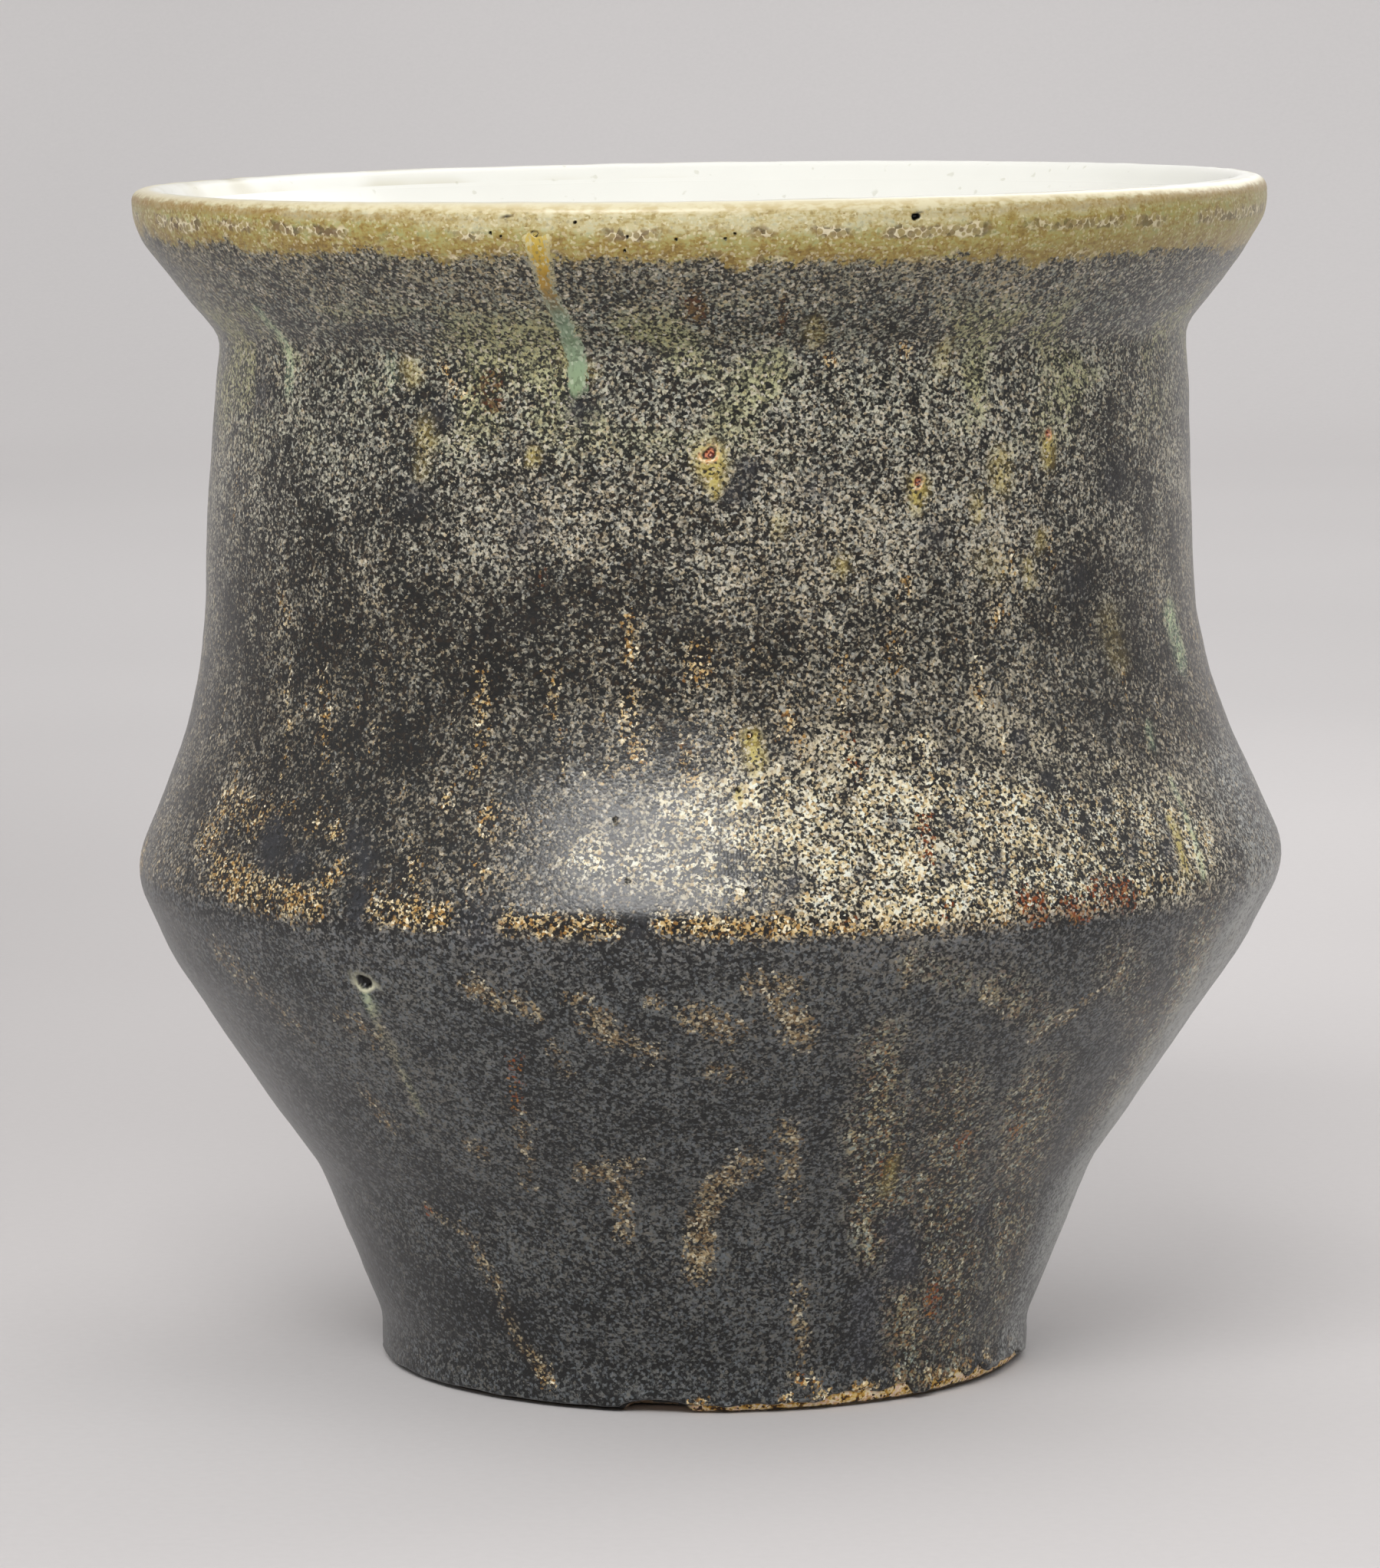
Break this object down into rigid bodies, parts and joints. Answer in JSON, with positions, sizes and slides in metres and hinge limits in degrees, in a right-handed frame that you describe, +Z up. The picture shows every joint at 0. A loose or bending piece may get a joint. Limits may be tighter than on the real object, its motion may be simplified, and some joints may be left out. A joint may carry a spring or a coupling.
{
  "type": "vase",
  "caption": "Wheel-thrown stoneware vase with a turned foot, sharp low shoulder, straight neck and flared rim, dark glaze outside and white liner inside.",
  "frame": {"origin": "centre of the foot ring, on the surface the vase stands on", "axes": "+Z up along the wheel axis, -Y towards the side with the long run of rim glaze"},
  "size_m": [0.1498, 0.1496, 0.1552],
  "materials": {
    "clay": "unglazed, smooth, matt",
    "dark_glaze": "satin, speckled slate grey with ochre breaks",
    "band_glaze": "satin, mottled ochre and olive",
    "white_glaze": "glossy white"
  },
  "bodies": {
    "root": {"clay_body": "clay", "outer_glaze": "dark_glaze", "rim_glaze": "band_glaze", "inner_glaze": "white_glaze"}
  },
  "joints": []
}
